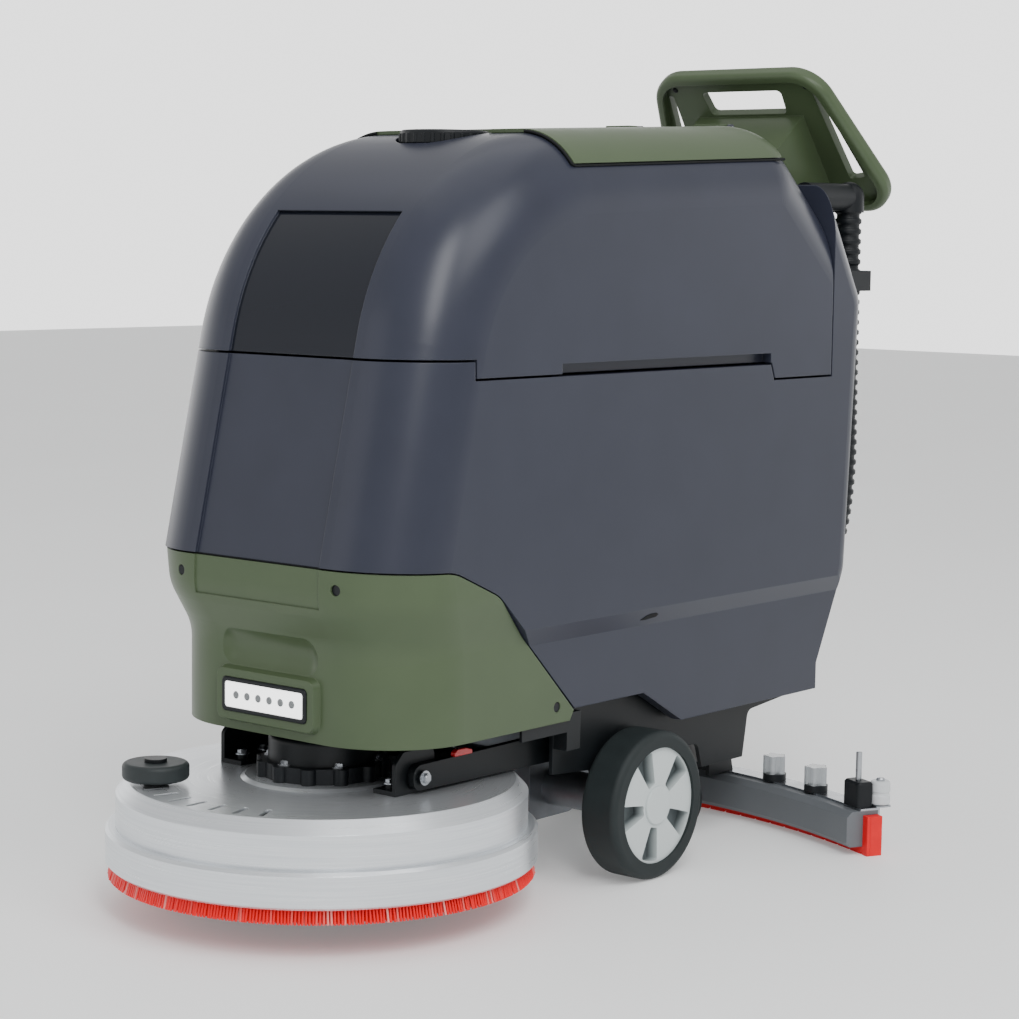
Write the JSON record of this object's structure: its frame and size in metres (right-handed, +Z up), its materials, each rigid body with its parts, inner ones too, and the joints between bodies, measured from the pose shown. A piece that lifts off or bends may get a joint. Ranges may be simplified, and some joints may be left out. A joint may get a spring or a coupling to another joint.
{
  "type": "floor scrubber",
  "caption": "Walk-behind floor scrubber with a round brush deck, stacked water tanks, curved squeegee, drive wheels and a sloped handle.",
  "frame": {"origin": "on the floor under the drive axle, midway between the deck's front and the handle's rear", "axes": "+Z up, -Y towards the front of the machine, +X to the operator's left"},
  "size_m": [0.8072, 1.3181, 1.1044],
  "materials": {
    "tank_plastic": "rotomoulded polyethylene, charcoal grey",
    "green_plastic": "moulded plastic, olive green",
    "black_plastic": "moulded plastic, black",
    "frame_steel": "powder coated, black",
    "deck_aluminium": "bead blasted",
    "bright_steel": "brushed",
    "squeegee_grey": "dark grey powder coat on cast aluminium",
    "red_rubber": "red gum rubber",
    "red_bristle": "red nylon",
    "tyre_rubber": "solid rubber",
    "hub_grey": "light grey moulded plastic",
    "roller_grey": "grey non-marking rubber",
    "clear_plastic": "clear moulded plastic",
    "lens_plastic": "clear lens",
    "led_chip": "light chips",
    "battery_plastic": "moulded case",
    "battery_plates": "lead plates",
    "motor_paint": "black enamel",
    "gear_case": "die cast",
    "stop_red": "red plastic"
  },
  "bodies": {
    "chassis": {"chassis_frame": "frame_steel", "solution_tank": "tank_plastic", "front_cover": "green_plastic", "cover_screws": "bright_steel", "headlight_bezel": "black_plastic", "headlight_lens": "lens_plastic", "headlight_leds": "led_chip", "battery_cases": "battery_plastic", "battery_cores": "battery_plates", "drive_unit": "gear_case", "vacuum_motor": "black_plastic", "lift_actuator": "black_plastic", "handle_console": "green_plastic", "control_panel": "black_plastic", "suction_hose": "black_plastic", "hose_fittings": "black_plastic", "tilt_hinge_pins": "bright_steel"},
    "wheel_left": {"tyre_left": "tyre_rubber", "wheel_hub_left": "hub_grey", "half_shaft_left": "bright_steel"},
    "wheel_right": {"tyre_right": "tyre_rubber", "wheel_hub_right": "hub_grey", "half_shaft_right": "bright_steel"},
    "caster_left": {"caster_fork_left": "bright_steel"},
    "caster_left_roller": {"caster_wheel_left": "roller_grey"},
    "caster_right": {"caster_fork_right": "bright_steel"},
    "caster_right_roller": {"caster_wheel_right": "roller_grey"},
    "lift_arm": {"lift_arms": "frame_steel", "lift_rod": "bright_steel"},
    "deck": {"deck_shroud": "deck_aluminium", "deck_rim": "deck_aluminium", "deck_yoke": "frame_steel", "motor_ring": "black_plastic", "gear_motor": "motor_paint", "guide_post": "bright_steel"},
    "guide": {"guide_roller": "roller_grey"},
    "brush": {"brush_disc": "black_plastic", "brush_bristles": "red_bristle"},
    "squeegee": {"tow_bracket": "frame_steel", "squeegee_body": "squeegee_grey", "front_blade": "red_rubber", "rear_blade": "red_rubber", "blade_strap": "bright_steel", "end_clamps": "bright_steel"},
    "tank": {"recovery_tank": "tank_plastic", "float_cage": "black_plastic", "lid_hinge_pins": "bright_steel"},
    "lid": {"tank_lid": "green_plastic"},
    "cap": {"tank_cap": "black_plastic"},
    "key": {"key_switch": "bright_steel"},
    "stop": {"stop_button": "stop_red"},
    "dial": {"speed_dial": "black_plastic"},
    "brush_switch": {"brush_button": "clear_plastic"},
    "water_switch": {"water_button": "clear_plastic"},
    "vacuum_switch": {"vacuum_button": "clear_plastic"},
    "paddle": {"drive_paddle": "black_plastic"},
    "knob_1": {"squeegee_knob_1": "clear_plastic"},
    "knob_2": {"squeegee_knob_2": "clear_plastic"},
    "knob_3": {"squeegee_knob_3": "clear_plastic"},
    "knob_4": {"squeegee_knob_4": "clear_plastic"}
  },
  "joints": [
    {"name": "wheel_left_spin", "type": "hinge", "parent": "chassis", "child": "wheel_left", "pos_m": [0.223, 0, 0.1], "axis": [1, 0, 0], "continuous": true},
    {"name": "caster_left_swivel", "type": "hinge", "parent": "chassis", "child": "caster_left", "pos_m": [0.1, 0.237, 0.1], "axis": [0, 0, 1], "continuous": true},
    {"name": "caster_left_roll", "type": "hinge", "parent": "caster_left", "child": "caster_left_roller", "pos_m": [0.1, 0.262, 0.0375], "axis": [1, 0, 0], "continuous": true},
    {"name": "wheel_right_spin", "type": "hinge", "parent": "chassis", "child": "wheel_right", "pos_m": [-0.223, 0, 0.1], "axis": [1, 0, 0], "continuous": true},
    {"name": "caster_right_swivel", "type": "hinge", "parent": "chassis", "child": "caster_right", "pos_m": [-0.1, 0.237, 0.1], "axis": [0, 0, 1], "continuous": true},
    {"name": "caster_right_roll", "type": "hinge", "parent": "caster_right", "child": "caster_right_roller", "pos_m": [-0.1, 0.262, 0.0375], "axis": [1, 0, 0], "continuous": true},
    {"name": "deck_lower", "type": "hinge", "parent": "chassis", "child": "lift_arm", "pos_m": [0, -0.04, 0.186], "axis": [1, 0, 0], "range_deg": [0, 7.3]},
    {"name": "deck_level", "type": "hinge", "parent": "lift_arm", "child": "deck", "pos_m": [0, -0.38, 0.186], "axis": [1, 0, 0], "range_deg": [-7.3, 0]},
    {"name": "brush_spin", "type": "hinge", "parent": "deck", "child": "brush", "pos_m": [0, -0.384, 0.08], "axis": [0, 0, 1], "continuous": true},
    {"name": "guide_roller_spin", "type": "hinge", "parent": "deck", "child": "guide", "pos_m": [-0.1178, -0.56266, 0.18], "axis": [0, 0, 1], "continuous": true},
    {"name": "squeegee_lift", "type": "hinge", "parent": "chassis", "child": "squeegee", "pos_m": [0, 0.215, 0.165], "axis": [1, 0, 0], "range_deg": [0, 14], "deforming": ["suction_hose"]},
    {"name": "tank_tilt", "type": "hinge", "parent": "chassis", "child": "tank", "pos_m": [-0.233, 0, 0.65], "axis": [0, -1, 0], "range_deg": [0, 70]},
    {"name": "lid_open", "type": "hinge", "parent": "tank", "child": "lid", "pos_m": [0, 0.34, 1.00772], "axis": [-1, 0, 0], "range_deg": [0, 75]},
    {"name": "cap_turn", "type": "hinge", "parent": "tank", "child": "cap", "pos_m": [0, -0.162, 0.96882], "axis": [0, 0, 1], "range_deg": [0, 90]},
    {"name": "key_turn", "type": "hinge", "parent": "chassis", "child": "key", "pos_m": [-0.048, 0.57362, 1.02016], "axis": [0, 0.7848, 0.6198], "range_deg": [0, 90]},
    {"name": "dial_turn", "type": "hinge", "parent": "chassis", "child": "dial", "pos_m": [0, 0.59717, 0.99034], "axis": [0, 0.7848, 0.6198], "range_deg": [-135, 135]},
    {"name": "paddle_pull", "type": "hinge", "parent": "chassis", "child": "paddle", "pos_m": [0, 0.52738, 1.09323], "axis": [1, 0, 0], "range_deg": [0, 12], "stiffness_Nm_per_rad": 1},
    {"name": "knob_1_turn", "type": "hinge", "parent": "squeegee", "child": "knob_1", "pos_m": [-0.26972, 0.35456, 0.083], "axis": [0, 0, 1], "continuous": true},
    {"name": "knob_2_turn", "type": "hinge", "parent": "squeegee", "child": "knob_2", "pos_m": [-0.18299, 0.37828, 0.083], "axis": [0, 0, 1], "continuous": true},
    {"name": "knob_3_turn", "type": "hinge", "parent": "squeegee", "child": "knob_3", "pos_m": [0.18299, 0.37828, 0.083], "axis": [0, 0, 1], "continuous": true},
    {"name": "knob_4_turn", "type": "hinge", "parent": "squeegee", "child": "knob_4", "pos_m": [0.26972, 0.35456, 0.083], "axis": [0, 0, 1], "continuous": true},
    {"name": "stop_press", "type": "slide", "parent": "chassis", "child": "stop", "axis": [0, -0.7848, -0.6198], "range_m": [0, 0.005], "stiffness_N_per_m": 400},
    {"name": "brush_press", "type": "slide", "parent": "chassis", "child": "brush_switch", "axis": [0, -0.7848, -0.6198], "range_m": [0, 0.003], "stiffness_N_per_m": 400},
    {"name": "water_press", "type": "slide", "parent": "chassis", "child": "water_switch", "axis": [0, -0.7848, -0.6198], "range_m": [0, 0.003], "stiffness_N_per_m": 400},
    {"name": "vacuum_press", "type": "slide", "parent": "chassis", "child": "vacuum_switch", "axis": [0, -0.7848, -0.6198], "range_m": [0, 0.003], "stiffness_N_per_m": 400}
  ],
  "couplings": [
    {"joint": "deck_level", "follows": "deck_lower", "ratio": -1}
  ]
}
